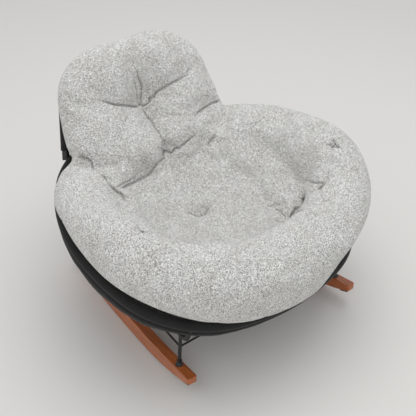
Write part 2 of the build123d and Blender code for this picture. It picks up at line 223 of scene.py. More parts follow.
beechPores = addNode(beech, "ShaderNodeTexNoise", {}, {"Scale": 1.0, "Detail": 2.0},
                     {"Vector": beechFleck.outputs["Vector"]})
beechRough = addNode(beech, "ShaderNodeMapRange", {}, {"To Min": 0.32, "To Max": 0.48},
                     {"Value": beechPores.outputs["Fac"]})
beechBump = addNode(beech, "ShaderNodeBump", {}, {"Strength": 0.12, "Distance": 0.0004},
                    {"Height": beechPores.outputs["Fac"]})
beechShader = addNode(beech, "ShaderNodeBsdfPrincipled", {},
                      {"Coat Weight": 0.35, "Coat Roughness": 0.2, "IOR": 1.5},
                      {"Base Color": beechTone.outputs["Color"], "Roughness": beechRough.outputs["Result"],
                       "Normal": beechBump.outputs["Normal"]})
addNode(beech, "ShaderNodeOutputMaterial", {}, {}, {"Surface": beechShader.outputs["BSDF"]})

# powder-coated steel: black, satin, with a fine orange-peel skin
powder = newMaterial("black powder-coated steel")
powderCoords = addNode(powder, "ShaderNodeTexCoord")
powderPeel = addNode(powder, "ShaderNodeTexNoise", {}, {"Scale": 1000 / 1.5, "Detail": 2.0},
                     {"Vector": powderCoords.outputs["Object"]})
powderWear = addNode(powder, "ShaderNodeTexNoise", {}, {"Scale": 1000 / 40, "Detail": 3.0},
                     {"Vector": powderCoords.outputs["Object"]})
powderTone = addNode(powder, "ShaderNodeValToRGB", {}, {}, {"Fac": powderWear.outputs["Fac"]})
setRamp(powderTone, [(0.35, "#121212"), (0.75, "#1c1c1c")])
powderRough = addNode(powder, "ShaderNodeMapRange", {}, {"To Min": 0.36, "To Max": 0.5},
                      {"Value": powderWear.outputs["Fac"]})
powderBump = addNode(powder, "ShaderNodeBump", {}, {"Strength": 0.15, "Distance": 0.0002},
                     {"Height": powderPeel.outputs["Fac"]})
powderShader = addNode(powder, "ShaderNodeBsdfPrincipled", {}, {"IOR": 1.5},
                       {"Base Color": powderTone.outputs["Color"], "Roughness": powderRough.outputs["Result"],
                        "Normal": powderBump.outputs["Normal"]})
addNode(powder, "ShaderNodeOutputMaterial", {}, {}, {"Surface": powderShader.outputs["BSDF"]})

# zinc-plated bolts: pale blue-grey metal, a little cloudy
zinc = newMaterial("zinc-plated steel")
zincCoords = addNode(zinc, "ShaderNodeTexCoord")
zincCloud = addNode(zinc, "ShaderNodeTexNoise", {}, {"Scale": 1000 / 3, "Detail": 3.0},
                    {"Vector": zincCoords.outputs["Object"]})
zincTone = addNode(zinc, "ShaderNodeValToRGB", {}, {}, {"Fac": zincCloud.outputs["Fac"]})
setRamp(zincTone, [(0.3, "#9fa3a6"), (0.7, "#c4c7c9")])
zincRough = addNode(zinc, "ShaderNodeMapRange", {}, {"To Min": 0.28, "To Max": 0.45},
                    {"Value": zincCloud.outputs["Fac"]})
zincShader = addNode(zinc, "ShaderNodeBsdfPrincipled", {}, {"Metallic": 1.0},
                     {"Base Color": zincTone.outputs["Color"], "Roughness": zincRough.outputs["Result"]})
addNode(zinc, "ShaderNodeOutputMaterial", {}, {}, {"Surface": zincShader.outputs["BSDF"]})

# dark felt pads: pressed fibres, dull
felt = newMaterial("dark pressed felt")
feltCoords = addNode(felt, "ShaderNodeTexCoord")
feltFibre = addNode(felt, "ShaderNodeTexNoise", {}, {"Scale": 1000 / 1.6, "Detail": 5.0, "Distortion": 1.5},
                    {"Vector": feltCoords.outputs["Object"]})
feltTone = addNode(felt, "ShaderNodeValToRGB", {}, {}, {"Fac": feltFibre.outputs["Fac"]})
setRamp(feltTone, [(0.35, "#1b1a19"), (0.7, "#34322f")])
feltBump = addNode(felt, "ShaderNodeBump", {}, {"Strength": 0.4, "Distance": 0.0005},
                   {"Height": feltFibre.outputs["Fac"]})
feltShader = addNode(felt, "ShaderNodeBsdfPrincipled", {}, {"Roughness": 0.95, "Sheen Weight": 0.15},
                     {"Base Color": feltTone.outputs["Color"], "Normal": feltBump.outputs["Normal"]})
addNode(felt, "ShaderNodeOutputMaterial", {}, {}, {"Surface": feltShader.outputs["BSDF"]})

# tuft thread: twisted grey polyester
thread = newMaterial("twisted polyester thread")
threadCoords = addNode(thread, "ShaderNodeTexCoord")
threadTwist = addNode(thread, "ShaderNodeTexWave", {"bands_direction": "DIAGONAL"},
                      {"Scale": 1000 / 1.2 / 6.283},
                      {"Vector": threadCoords.outputs["Object"]})
threadTone = addNode(thread, "ShaderNodeValToRGB", {}, {}, {"Fac": threadTwist.outputs["Fac"]})
setRamp(threadTone, [(0.0, "#6d6e6e"), (1.0, "#a4a5a3")])
threadShader = addNode(thread, "ShaderNodeBsdfPrincipled", {}, {"Roughness": 0.6, "Sheen Weight": 0.2},
                       {"Base Color": threadTone.outputs["Color"]})
addNode(thread, "ShaderNodeOutputMaterial", {}, {}, {"Surface": threadShader.outputs["BSDF"]})

finishes = {  # start of a CAD node's name, and its finish
    "rocker_bolts": zinc,
    "rocker": beech,
    "stop_pad": felt,
    "foot_cup": powder,
    "leg": powder,
    "stretcher": powder,
    "seat_rail": powder,
    "hoop": powder,
    "back_arch": powder,
}
for nodeName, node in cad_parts.items():
    for start, finish in finishes.items():
        if nodeName.startswith(start):
            node.data.materials.clear()
            node.data.materials.append(finish)
            break
print("materials done")


# cushion: one sewn cover over three filled parts

cushionPlan = {  # pairs are the start and end of a soft step, in metres or degrees from the front
    "nodes": ("rim_roll", "seat_pad", "head_cushion"),
    # the roll's ends beside the head lie over the hoop
    "endSpread": 0.024,
    "endLift": 0.012,
    "endOuter": (0.325, 0.385),       # from the seat's axis
    "endTurn": (96, 120),
    "tubeGap": 0.020,                 # room kept round the hoop's centre line
    # low on its outer side the roll bulges over the hoop in front and sits inside it at the sides
    "outside": (0.35, 0.40),
    "lowRise": (0.004, 0.022),        # height over the hoop
    "lowFall": (0.03, 0.12),
    "overhang": 0.018,
    "overhangFall": (0, 65),
    "sideTuck": 0.024,
    "tuckRise": (25, 65),
    "tuckFall": (92, 110),
    # on the sitter's left it is pressed in a little
    "dent": 0.021,
    "dentLow": (0.0, 0.03),
    "dentHigh": (0.09, 0.15),
    "dentRise": (0, 28),
    "dentFall": (68, 95),
    # the arms slope down to the seat
    "slump": 0.028,
    "slumpRise": (42, 64),
    "slumpFall": (98, 122),
    "slumpHeight": (0.08, 0.15),
    "slumpInner": (0.26, 0.30),
    "slumpOuter": (0.325, 0.395),
    # the seat drops away inside the arms
    "padDrop": 0.012,
    "padRise": (40, 66),
    "padFall": (122, 140),
    "padReach": (0.17, 0.26),
    "padHeight": (-0.06, 0.0),
    # one cover over all three
    "overlap": 0.002,                 # lets the three parts run into each other
    "voxel": 0.008,
    "relax": 14,                      # smoothing rounds
    "foldRelax": 60,                  # more of them in the fold between seat and head
    "foldMiddle": (0, 0.19, 0.43),
    "foldShape": (1.5, 1, 1),
    "foldReach": 0.08,
    "wallRelax": 90,                  # and on the inner walls of the arms, between these limits
    "wallReach": (0.19, 0.33),
    "wallTurn": (50, 125),
    "wallHeight": (-0.01, 0.15),
    "headLean": 0.001,                # the head slumps to one side
    "leanRise": (0.05, 0.25),
    # blown up by cloth
    "shrink": 0.005,                  # it starts this much smaller, because it swells
    "pressure": 3.5,
    "slack": 0.03,                    # the cover is cut this much larger than the filling
    "mass": 0.3,
    "stretch": 15,
    "shear": 5,
    "bend": 0.8,
    "quality": 5,
    "frames": 20,
    "cap": 0.014,                     # no point moves further
    # where the cloth is held: distance or height, and the width of the soft edge
    "bowlHold": (0.022, 0.020),
    "backHold": (0.026, 0.008),
    "tuftHold": (0.018, 0.010),
    "creaseHold": (0.020, 0.012),
    "hugOuter": (0.36, 0.40),         # the pressed-in side stays pressed in
    "hugHeight": (0.07, 0.12),
    "hugRise": (14, 34),
    "hugFall": (72, 95),
    # creases
    "pinch": 0.25,                    # share by which a valley draws the cover in
    "fineReach": 0.010,               # the mesh is cut finer this near to a crease
    "fineShare": 0.05,
}
# tufts in millimetres: place, direction of the pull, reach of the dimple, depth
tufts = [
    ((-9, 281, 537), (0, 0.89, -0.45), 64, 13),
    ((3, 180, 410), (0, 0.89, -0.45), 46, 14),
    ((4, 5, 279), (0, 0.24, -0.97), 60, 14),
    ((159, -228, 334), (0.45, -0.45, -0.77), 80, 22),
    ((-159, -228, 334), (-0.45, -0.45, -0.77), 80, 22),
    ((217, -249, 432), (0.45, -0.45, -0.77), 64, 24),
    ((-217, -249, 432), (-0.45, -0.45, -0.77), 64, 24),
    ((326, -192, 497), (0.45, 0, -0.89), 40, 14),
    ((-326, -192, 497), (-0.45, 0, -0.89), 40, 14),
]
# creases in millimetres: points on the cover, then the width and depth of the soft
# valley, the width and depth of the slit in it, and the share faded at each end
creases = [
    ([(-8, 282, 539), (0, 293, 573), (-6, 297, 612), (-13, 305, 644), (-19, 325, 674)],
     (20, 8), (2.6, 10), (0, 0.6)),
    ([(-9, 282, 539), (-12, 292, 570), (-21, 296, 604), (-36, 298, 630)], (14, 4), (2.6, 8), (0, 0.6)),
    ([(-10, 281, 538), (-53, 275, 546), (-101, 264, 566), (-134, 275, 582), (-161, 285, 592),
      (-183, 292, 599)], (22, 8), (2.8, 12), (0, 0.4)),
    ([(-8, 282, 538), (17, 283, 543), (46, 281, 556), (85, 271, 572), (125, 273, 580), (178, 282, 584)],
     (22, 8), (2.8, 12), (0, 0.35)),
    ([(-9, 278, 530), (-3, 257, 500), (0, 230, 476), (3, 204, 459), (3, 185, 432), (3, 181, 413)],
     (28, 10), (2.8, 9), (0.1, 0)),
    ([(20, 217, 468), (6, 188, 448), (3, 181, 414)], (16, 4), (2.6, 7), (0.6, 0)),
    ([(4, 180, 410), (24, 173, 409), (42, 166, 416), (82, 167, 426), (124, 177, 439)],
     (26, 9), (2.8, 12), (0, 0.4)),
    ([(2, 180, 409), (-11, 172, 397), (-36, 163, 386), (-74, 157, 375), (-118, 145, 377), (-174, 123, 389),
      (-220, 102, 404)], (24, 8), (3.2, 12), (0, 0.2)),
    ([(-83, 159, 388), (-117, 151, 384), (-170, 128, 392), (-222, 109, 409)], (10, 2), (2.6, 7), (0.5, 0.1)),
    ([(-276, 200, 462), (-270, 150, 462), (-268, 110, 456), (-262, 70, 440), (-252, 20, 430),
      (-250, -40, 430)], (24, -8), (3, 0), (0.2, 0.3)),  # a ridge
    ([(-274, 246, 459), (-254, 195, 450), (-243, 150, 444), (-238, 112, 428), (-230, 92, 408),
      (-214, 70, 384), (-204, 40, 362)], (24, 22), (3.4, 11), (0.1, 0.3)),
    ([(117, 203, 476), (141, 210, 480), (185, 220, 486), (224, 228, 487), (258, 238, 479)],
     (20, 6), (2.8, 12), (0.4, 0.1)),
    ([(127, 150, 389), (151, 151, 406), (176, 152, 422)], (18, 5), (2.8, 9), (0.4, 0.4)),
    ([(4, 5, 280), (-20, 9, 284), (-40, 17, 292), (-61, 15, 294)], (22, 5), (2.8, 11), (0, 0.6)),
    ([(5, 5, 280), (22, 5, 283), (41, 4, 288)], (22, 5), (2.8, 9), (0, 0.7)),
    ([(95, -274, 325), (0, -290, 318), (-95, -274, 325)], (36, 7), (3, 3), (0.1, 0.1)),
]
bothSides = [  # the same on the sitter's left and right
    ([(159, -228, 334), (186, -219, 343), (219, -195, 346), (255, -140, 345)], (26, 13), (3.4, 16), (0, 0.5)),
    ([(159, -228, 334), (192, -236, 380), (217, -249, 430)], (24, 15), (3.6, 16), (0, 0)),
    ([(159, -228, 334), (149, -200, 331), (154, -157, 316), (153, -123, 307)], (20, 6), (2.8, 9), (0, 0.6)),
    ([(159, -228, 334), (135, -228, 331), (122, -209, 322), (120, -169, 304)], (18, 5), (2.8, 9), (0, 0.6)),
    ([(159, -228, 334), (110, -300, 405), (128, -344, 433)], (18, 4), (2.8, 6), (0, 0.6)),
    ([(217, -249, 432), (235, -250, 445), (253, -243, 454), (273, -230, 464)], (20, 6), (2.8, 9), (0, 0.6)),
    ([(217, -249, 432), (189, -289, 437), (164, -318, 437)], (18, 5), (2.8, 6), (0, 0.7)),
    ([(217, -249, 432), (243, -191, 394), (266, -140, 362)], (18, 3), (2.8, 8), (0, 0.6)),
    ([(326, -192, 497), (340, -181, 498), (354, -172, 497)], (12, 3), (2.8, 10), (0, 0.6)),
    ([(326, -192, 497), (321, -178, 493), (316, -164, 488)], (12, 3), (2.8, 10), (0, 0.6)),
    ([(326, -192, 497), (331, -208, 496), (336, -222, 495)], (12, 3), (2.8, 10), (0, 0.6)),
]
for points, valley, slit, fade in bothSides:
    creases.append((points, valley, slit, fade))
    creases.append(([(-x, y, z) for x, y, z in points], valley, slit, fade))


def smoothLine(points, steps=6):  # a soft curve through the points, in metres
    points = np.array(points) / 1000
    padded = np.vstack((2 * points[0] - points[1], points, 2 * points[-1] - points[-2]))
    curve = []
    for i in range(1, len(padded) - 2):
        a, b, c, d = padded[i - 1:i + 3]
        for t in np.arange(steps) / steps:
            bent = (2 * a - 5 * b + 4 * c - d) * t**2 + (3 * b - a - 3 * c + d) * t**3
            curve.append(0.5 * (2 * b + (c - a) * t + bent))
    curve.append(points[-1])
    return np.array(curve)


def alongLine(points, line):  # distance to the line, share of its length, nearest place
    best = np.full(len(points), 1e9)
    share = np.zeros(len(points))
    near = np.zeros_like(points)
    lengths = np.linalg.norm(np.diff(line, axis=0), axis=1)
    before = np.concatenate(([0], np.cumsum(lengths)))
    for i, length in enumerate(lengths):
        run = line[i + 1] - line[i]
        t = np.clip((points - line[i]) @ run / length**2, 0, 1)
        spot = line[i] + t[:, None] * run
        gap = np.linalg.norm(points - spot, axis=1)
        closer = gap < best
        best[closer] = gap[closer]
        share[closer] = (before[i] + t[closer] * length) / before[-1]
        near[closer] = spot[closer]
    return best, share, near


def fadeEnds(share, fade):  # 1 along the line, down to 0 at its ends
    start = np.clip(share / max(fade[0], 1e-6), 0, 1)
    stop = np.clip((1 - share) / max(fade[1], 1e-6), 0, 1)
    both = np.minimum(start, stop)
    return both * both * (3 - 2 * both)


def nearLine(points, line, margin):  # which points lie in the line's box, grown by the margin
    inside = (points > line.min(axis=0) - margin) & (points < line.max(axis=0) + margin)
    return np.where(np.all(inside, axis=1))[0]


def pullCrease(points, normals, line, width, depth, fade, pinch=0.0):
    tail = 2.6  # widths, past which the pull is too small to see
    near = nearLine(points, line, width / 1000 * tail)
    gap, share, place = alongLine(points[near], line)
    weight = fadeEnds(share, fade) * np.exp(-(gap / (width / 1000))**2)
    facing = normals[near]
    toLine = place - points[near]
    toLine -= facing * np.sum(toLine * facing, axis=1)[:, None]
    points[near] += toLine * (pinch * weight)[:, None] - facing * (weight * depth / 1000)[:, None]


def copyNode(node):  # a merged copy, cut finer so that it can be shaped
    copy = bpy.data.objects.new(node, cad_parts[node].data.copy())
    bpy.context.scene.collection.objects.link(copy)
    only(copy)
    bpy.ops.object.mode_set(mode="EDIT")
    bpy.ops.mesh.select_all(action="SELECT")
    bpy.ops.mesh.remove_doubles(threshold=0.0002)  # 0.2 mm
    bpy.ops.mesh.subdivide(number_cuts=2)
    bpy.ops.object.mode_set(mode="OBJECT")
    copy.data.materials.clear()
    return copy


def softStep(values, start, stop):
    t = np.clip((values - start) / (stop - start), 0, 1)
    return t * t * (3 - 2 * t)


def softBand(values, rise, fall):  # 1 between two soft steps
    return softStep(values, *rise) * (1 - softStep(values, *fall))


def softHold(away, hold):  # 1 near, 0 past the hold's distance
    return np.clip((hold[0] - away) / hold[1], 0, 1)


def seatPlace(points):  # across, to the rear, over the hoop, from the axis, and degrees from the front
    local = points - seat["origin"]
    across = local[:, 0]
    rear = local @ seatRear
    height = local @ seatUp
    reach = np.hypot(across, rear)
    aside = np.degrees(np.arctan2(np.abs(across), -rear))
    return across, rear, height, reach, aside


def spreadRollEnds(piece, plan):  # beside the head the roll lies over the hoop
    across, rear, height, reach, aside = seatPlace(readPoints(piece))
    outer = softStep(reach, *plan["endOuter"]) * softStep(aside, *plan["endTurn"])
    reachNew = reach + plan["endSpread"] * outer
    height = height + plan["endLift"] * outer
    tube = np.array([hoopReach(turn) for turn in np.arctan2(rear, across)])
    gap = np.hypot(reachNew - tube, height)
    close = np.clip(plan["tubeGap"] / np.maximum(gap, 1e-6), 1, None)
    close[aside < plan["endTurn"][0]] = 1
    reachNew = tube + (reachNew - tube) * close
    height = height * close
    scale = reachNew / np.maximum(reach, 1e-6)
    writePoints(piece, seat["origin"] + np.outer(across * scale, acrossSeat)
                + np.outer(rear * scale, seatRear) + np.outer(height, seatUp))


def bulgeOverHoop(piece, plan):  # overhang in front, tuck at the sides, dent on the sitter's left
    points = readPoints(piece)
    across, rear, height, reach, aside = seatPlace(points)
    low = softBand(height, plan["lowRise"], plan["lowFall"])
    tucked = softBand(aside, plan["tuckRise"], plan["tuckFall"])
    dented = softBand(height, plan["dentLow"], plan["dentHigh"]) * (across > 0)
    dented *= softBand(aside, plan["dentRise"], plan["dentFall"])
    front = 1 - softStep(aside, *plan["overhangFall"])
    out = low * (plan["overhang"] * front - plan["sideTuck"] * tucked)
    pressed = np.minimum(out, out * (1 - dented) - plan["dent"] * dented)
    out = np.where(dented > 0, pressed, out)
    grow = out * softStep(reach, *plan["outside"]) / np.maximum(reach, 1e-6)
    writePoints(piece, points + np.outer(grow * across, acrossSeat) + np.outer(grow * rear, seatRear))


def slumpArms(piece, plan):  # lower the inner edge of the arms
    points = readPoints(piece)
    across, rear, height, reach, aside = seatPlace(points)
    weight = softBand(aside, plan["slumpRise"], plan["slumpFall"]) * softStep(height, *plan["slumpHeight"])
    weight *= softBand(reach, plan["slumpInner"], plan["slumpOuter"])
    writePoints(piece, points - np.outer(weight * plan["slump"], seatUp))


def lowerPadSides(piece, plan):  # the seat drops away inside the arms
    points = readPoints(piece)
    across, rear, height, reach, aside = seatPlace(points)
    weight = softBand(aside, plan["padRise"], plan["padFall"]) * softStep(reach, *plan["padReach"])
    weight *= softStep(height, *plan["padHeight"])
    writePoints(piece, points - np.outer(weight * plan["padDrop"], seatUp))


def relaxWhere(piece, chosen, rounds):  # smooth one region only
    region = piece.vertex_groups.new(name="region")
    region.add(np.where(chosen)[0].tolist(), 1.0, "REPLACE")
    applyModifier(piece, "SMOOTH", factor=0.5, iterations=rounds, vertex_group="region")
    piece.vertex_groups.remove(piece.vertex_groups["region"])


def coverTree(piece):
    return BVHTree.FromObject(piece, bpy.context.evaluated_depsgraph_get())


def onCover(line, cover):  # the nearest places on the cover
    return np.array([cover.find_nearest(Vector(point))[0] for point in line])


def backOnCover(line, cover):  # lay a crease on the swollen cover again and take the kinks out
    laid = onCover(line, cover)
    for step in range(3):
        laid[1:-1] = (laid[:-2] + 2 * laid[1:-1] + laid[2:]) / 4
    return onCover(laid, cover)


def puff(piece, held, plan):  # blow the cover up a little with cloth, held where the weights say
    start = readPoints(piece)
    group = piece.vertex_groups.new(name="held")
    levels = 10
    for step in range(1, levels + 1):
        chosen = np.where(np.round(held * levels) == step)[0]
        group.add(chosen.tolist(), step / levels, "REPLACE")
    cloth = piece.modifiers.new("Cloth", "CLOTH")
    cloth.settings.quality = plan["quality"]
    cloth.settings.mass = plan["mass"]
    cloth.settings.tension_stiffness = plan["stretch"]
    cloth.settings.compression_stiffness = plan["stretch"]
    cloth.settings.shear_stiffness = plan["shear"]
    cloth.settings.bending_stiffness = plan["bend"]
    cloth.settings.use_pressure = True
    cloth.settings.uniform_pressure_force = plan["pressure"]
    cloth.settings.shrink_min = -plan["slack"]
    cloth.settings.vertex_group_mass = group.name
    cloth.settings.effector_weights.gravity = 0
    cloth.collision_settings.use_collision = False
    cloth.collision_settings.use_self_collision = False
    cloth.point_cache.frame_start = 1
    cloth.point_cache.frame_end = plan["frames"]
    for step in range(1, plan["frames"] + 1):
        bpy.context.scene.frame_set(step)
    applied = piece.evaluated_get(bpy.context.evaluated_depsgraph_get())
    moved = readPoints(applied) - start
    piece.modifiers.remove(cloth)
    piece.vertex_groups.remove(group)
    bpy.context.scene.frame_set(1)
    reach = np.linalg.norm(moved, axis=1)
    share = np.minimum(1, plan["cap"] / np.maximum(reach, 1e-9))
    writePoints(piece, start + moved * share[:, None])
    print("cushion blown up, mean move", round(float(reach[held < 0.1].mean() * 1000), 1), "mm")


filling = [copyNode(node) for node in cushionPlan["nodes"]]
spreadRollEnds(filling[0], cushionPlan)
bulgeOverHoop(filling[0], cushionPlan)
slumpArms(filling[0], cushionPlan)
lowerPadSides(filling[1], cushionPlan)
bpy.ops.object.select_all(action="DESELECT")
for part in filling:
    part.select_set(True)
bpy.context.view_layer.objects.active = filling[0]
bpy.ops.object.join()
cushion = bpy.context.object
cushion.name = "cushion"
only(cushion)
bpy.ops.object.mode_set(mode="EDIT")
bpy.ops.mesh.select_all(action="SELECT")
bpy.ops.transform.shrink_fatten(value=cushionPlan["overlap"])
bpy.ops.object.mode_set(mode="OBJECT")
applyModifier(cushion, "REMESH", mode="VOXEL", voxel_size=cushionPlan["voxel"])
print("cushion remeshed", len(cushion.data.vertices))
applyModifier(cushion, "SMOOTH", factor=0.5, iterations=cushionPlan["relax"])

shape = readPoints(cushion)
fromFold = (shape - np.array(cushionPlan["foldMiddle"])) / np.array(cushionPlan["foldShape"])
relaxWhere(cushion, np.linalg.norm(fromFold, axis=1) < cushionPlan["foldReach"], cushionPlan["foldRelax"])
across, rear, height, reach, aside = seatPlace(shape)
wall = np.ones(len(shape), bool)
for values, (least, most) in ((reach, cushionPlan["wallReach"]), (aside, cushionPlan["wallTurn"]),
                              (height, cushionPlan["wallHeight"])):
    wall &= (values > least) & (values < most)
relaxWhere(cushion, wall, cushionPlan["wallRelax"])

# tufts and creases are pulled in, and the cover is held there and where it rests
plainCover = coverTree(cushion)
creaseLines = [onCover(smoothLine(points), plainCover) for points, valley, slit, fade in creases]
shape = readPoints(cushion)
normals = readNormals(cushion)
across, rear, height, reach, aside = seatPlace(shape)
depthBack = (shape - back["origin"]) @ backFront
resting = np.maximum(softHold(height, cushionPlan["bowlHold"]), softHold(depthBack, cushionPlan["backHold"]))
hugged = softStep(reach, *cushionPlan["hugOuter"]) * (1 - softStep(height, *cushionPlan["hugHeight"]))
hugged *= (across > 0)
hugged *= softBand(aside, cushionPlan["hugRise"], cushionPlan["hugFall"])
shape -= normals * ((1 - resting) * cushionPlan["shrink"])[:, None]
rise = (shape - back["origin"]) @ backRise
shape[:, 0] -= cushionPlan["headLean"] * softStep(rise, *cushionPlan["leanRise"])
for place, pull, reach, depth in tufts:
    away = np.linalg.norm(shape - np.array(place) / 1000, axis=1) / (reach / 1000)
    funnel = np.clip(1 - away, 0, 1)**2
    shape += np.array(pull) * (funnel * depth / 1000)[:, None]
for line, (points, valley, slit, fade) in zip(creaseLines, creases):
    pullCrease(shape, normals, line, *valley, fade, pinch=cushionPlan["pinch"])
writePoints(cushion, shape)

held = np.zeros(len(shape))
for place, pull, reach, depth in tufts:
    middle = np.array(place) / 1000 + np.array(pull) * depth / 1000
    away = np.linalg.norm(shape - middle, axis=1)
    held = np.maximum(held, softHold(away, cushionPlan["tuftHold"]))
for line, (points, valley, slit, fade) in zip(creaseLines, creases):
    near = nearLine(shape, line, cushionPlan["creaseHold"][0])
    gap, share, place = alongLine(shape[near], line)
    held[near] = np.maximum(held[near], fadeEnds(share, fade) * softHold(gap, cushionPlan["creaseHold"]))
held = np.maximum(held, np.maximum(resting, hugged))
puff(cushion, held, cushionPlan)

applyModifier(cushion, "SUBSURF", levels=1, render_levels=1)

# the mesh is cut finer along the creases, and narrow slits are pulled into it
swollenCover = coverTree(cushion)
creaseLines = [backOnCover(line, swollenCover) for line in creaseLines]
faceMiddles = np.zeros(len(cushion.data.polygons) * 3, np.float32)
cushion.data.polygons.foreach_get("center", faceMiddles)
faceMiddles = faceMiddles.reshape(-1, 3).astype(float)
fine = np.zeros(len(faceMiddles), bool)
for line, (points, valley, slit, fade) in zip(creaseLines, creases):
    near = nearLine(faceMiddles, line, cushionPlan["fineReach"])
    gap, share, place = alongLine(faceMiddles[near], line)
    fine[near] |= (gap < cushionPlan["fineReach"]) & (fadeEnds(share, fade) > cushionPlan["fineShare"])
only(cushion)
bpy.ops.object.mode_set(mode="EDIT")
bpy.ops.mesh.select_all(action="DESELECT")
bpy.ops.object.mode_set(mode="OBJECT")
cushion.data.polygons.foreach_set("select", fine)
bpy.ops.object.mode_set(mode="EDIT")
bpy.ops.mesh.select_mode(type="FACE")
bpy.ops.mesh.subdivide(number_cuts=2)
bpy.ops.object.mode_set(mode="OBJECT")
print("faces refined at the creases", int(fine.sum()))

shape = readPoints(cushion)
normals = readNormals(cushion)
for line, (points, valley, slit, fade) in zip(creaseLines, creases):
    pullCrease(shape, normals, line, *slit, fade)
writePoints(cushion, shape)
only(cushion)
bpy.ops.object.shade_smooth()
cushion.data.materials.append(tweed)
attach(cushion, "cushion")
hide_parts(*cushionPlan["nodes"])
print("cushion done", len(cushion.data.vertices))


# thread ties: a small loop and a bar at the bottom of each tuft

tiePlan = {
    "loop": 0.0034,
    "thread": 0.0009,
    "bar": 3.2,           # length in loop radii
    "lift": 0.0008,       # over the cover
    "edge": 0.0004,
}
print("tuft ties start")
shape = readPoints(cushion)
normals = readNormals(cushion)
ties = []
for place, pull, reach, depth in tufts:
    wanted = np.array(place) / 1000 + np.array(pull) * depth / 1000
    nearest = np.argmin(np.linalg.norm(shape - wanted, axis=1))
    spot = Vector(shape[nearest] + normals[nearest] * tiePlan["lift"])
    lie = Vector(normals[nearest]).to_track_quat("Z", "Y").to_euler()
    bpy.ops.object.select_all(action="DESELECT")
    bpy.ops.mesh.primitive_torus_add(location=spot, rotation=lie, major_radius=tiePlan["loop"],
                                     minor_radius=tiePlan["thread"], major_segments=20, minor_segments=8)
    ties.append(bpy.context.object)
    bpy.ops.object.select_all(action="DESELECT")
    bpy.ops.mesh.primitive_cylinder_add(vertices=8, radius=tiePlan["thread"],
                                        depth=tiePlan["bar"] * tiePlan["loop"], location=spot, rotation=lie)
    bar = bpy.context.object
    bpy.ops.object.mode_set(mode="EDIT")
    bpy.ops.mesh.bevel(offset=tiePlan["edge"], segments=2)
    bpy.ops.transform.rotate(value=math.pi / 2, orient_axis="X", orient_type="LOCAL", center_override=spot)
    bpy.ops.object.mode_set(mode="OBJECT")
    ties.append(bar)
bpy.ops.object.select_all(action="DESELECT")
for tie in ties:
    tie.select_set(True)
bpy.context.view_layer.objects.active = ties[0]
bpy.ops.object.join()
tuftTies = bpy.context.object
tuftTies.name = "tuftTies"
bpy.ops.object.transform_apply(location=True, rotation=True, scale=True)
bpy.ops.object.shade_smooth()
tuftTies.data.materials.append(thread)
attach(tuftTies, "cushion")
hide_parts("tuft_ties")


# seat cover: black cloth sewn round the hoop and hung as a bowl

coverPlan = {
    "around": 288,
    "tube": 0.0156,               # radius round the hoop's centre line
    "wrap": (222, -36, -14),      # degrees, over the tube from its inner side
    "thickness": 0.002,
    # depth and half width of each ring: a stitched groove under the tube, then the bowl
    "groove": ((0.0125, 0.4235), (0.0150, 0.4215)),
    "bowl": ((0.0190, 0.4245), (0.027, 0.4225), (0.040, 0.4160), (0.054, 0.4062), (0.068, 0.3915),
             (0.082, 0.3722), (0.094, 0.3470), (0.106, 0.3162), (0.116, 0.2810), (0.123, 0.2422),
             (0.1285, 0.2000), (0.132, 0.1552), (0.1345, 0.1000), (0.1355, 0.0450)),
    "bottom": 0.136,
    "sideFull": 0.016,            # the bowl hangs fuller at the sides
    "sideTurn": 0.22,             # radians forward of straight sideways
    "sideWidth": 0.5,
    "fullFrom": 0.015,            # depth where the fuller part starts, and how far it goes down
    "fullSpan": 0.115,
    "ripple": 0.0012,
    "waves": ((17, 1.3, 1.0), (29, 0, 0.6), (41, 0.6, 0.5)),  # count, phase, share
    "rippleRise": (0.02, 0.05),   # depth where the ripples start, and how soon they are full
    "rippleFall": (0.125, 0.04),  # depth where they have gone, and how soon they fade
}
print("seat cover start")


def unitClip(value):
    return min(1, max(0, value))


profile = []  # half width and height of each ring, from inside the tube to the bottom of the bowl
for turn in range(*coverPlan["wrap"]):
    wrap = math.radians(turn)
    profile.append((hoopPlan["half"] + coverPlan["tube"] * math.cos(wrap),
                    coverPlan["tube"] * math.sin(wrap)))
tubeRings = len(profile)
profile.extend((half, -depth) for depth, half in coverPlan["groove"] + coverPlan["bowl"])

coverPoints = []
around = coverPlan["around"]
rippleStart, rippleSoon = coverPlan["rippleRise"]
rippleStop, rippleLate = coverPlan["rippleFall"]
for ring, (half, height) in enumerate(profile):
    for step in range(around):
        heading = 2 * math.pi * step / around - math.pi
        reach = hoopReach(heading)
        if ring < tubeRings:
            reach += half - hoopPlan["half"]  # the tube is as thick all round
        else:
            reach *= half / hoopPlan["half"]
        aside = math.atan2(-math.sin(heading), abs(math.cos(heading))) - coverPlan["sideTurn"]
        deep = unitClip((-height - coverPlan["fullFrom"]) / coverPlan["fullSpan"])
        full = math.exp(-(aside / coverPlan["sideWidth"])**2) * max(0, math.sin(math.pi * deep))
        reach += coverPlan["sideFull"] * full
        loose = unitClip((-height - rippleStart) / rippleSoon) * unitClip((rippleStop + height) / rippleLate)
        wave = sum(share * math.sin(count * heading + phase) for count, phase, share in coverPlan["waves"])
        reach += coverPlan["ripple"] * loose * wave
        place = seat["origin"] + reach * math.cos(heading) * acrossSeat
        coverPoints.append(tuple(place + reach * math.sin(heading) * seatRear + height * seatUp))
coverFaces = []
for ring in range(len(profile) - 1):
    for step in range(around):
        after = (step + 1) % around
        coverFaces.append((ring * around + step, (ring + 1) * around + step,
                           (ring + 1) * around + after, ring * around + after))
coverPoints.append(tuple(seat["origin"] - coverPlan["bottom"] * seatUp))
last = (len(profile) - 1) * around
for step in range(around):
    coverFaces.append((last + step, len(coverPoints) - 1, last + (step + 1) % around))
seatCover = meshPiece("seatCover", coverPoints, coverFaces)

